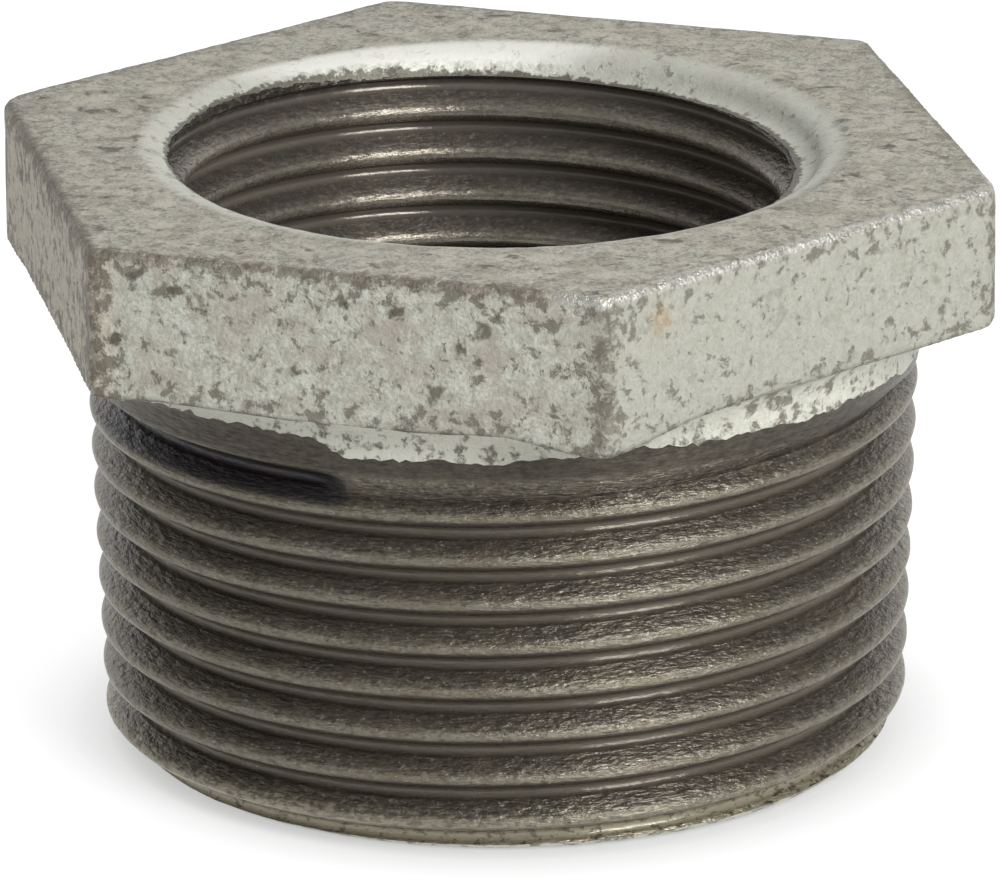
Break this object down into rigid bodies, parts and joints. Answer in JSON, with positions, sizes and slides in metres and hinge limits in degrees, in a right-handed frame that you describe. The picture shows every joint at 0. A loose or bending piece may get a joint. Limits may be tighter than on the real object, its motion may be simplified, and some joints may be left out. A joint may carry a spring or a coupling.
{
  "type": "hex bushing",
  "caption": "Reducing hex bushing for threaded steel pipe: tapered male pipe thread below a hexagon head, tapped through bore, galvanised malleable iron.",
  "frame": {"origin": "centre of the male thread, in the plane of the threaded end that the part stands on", "axes": "+Z along the male thread's axis, from the threaded end to the hexagon head; two corners of the hexagon lie on X, and two of its flats face +Y and -Y"},
  "size_m": [0.053, 0.046, 0.031],
  "materials": {
    "galvanised_iron": "hot-dip galvanised and weathered on the casting, bare machined iron on the threads"
  },
  "bodies": {
    "root": {"hex_bushing": "galvanised_iron"}
  },
  "joints": []
}
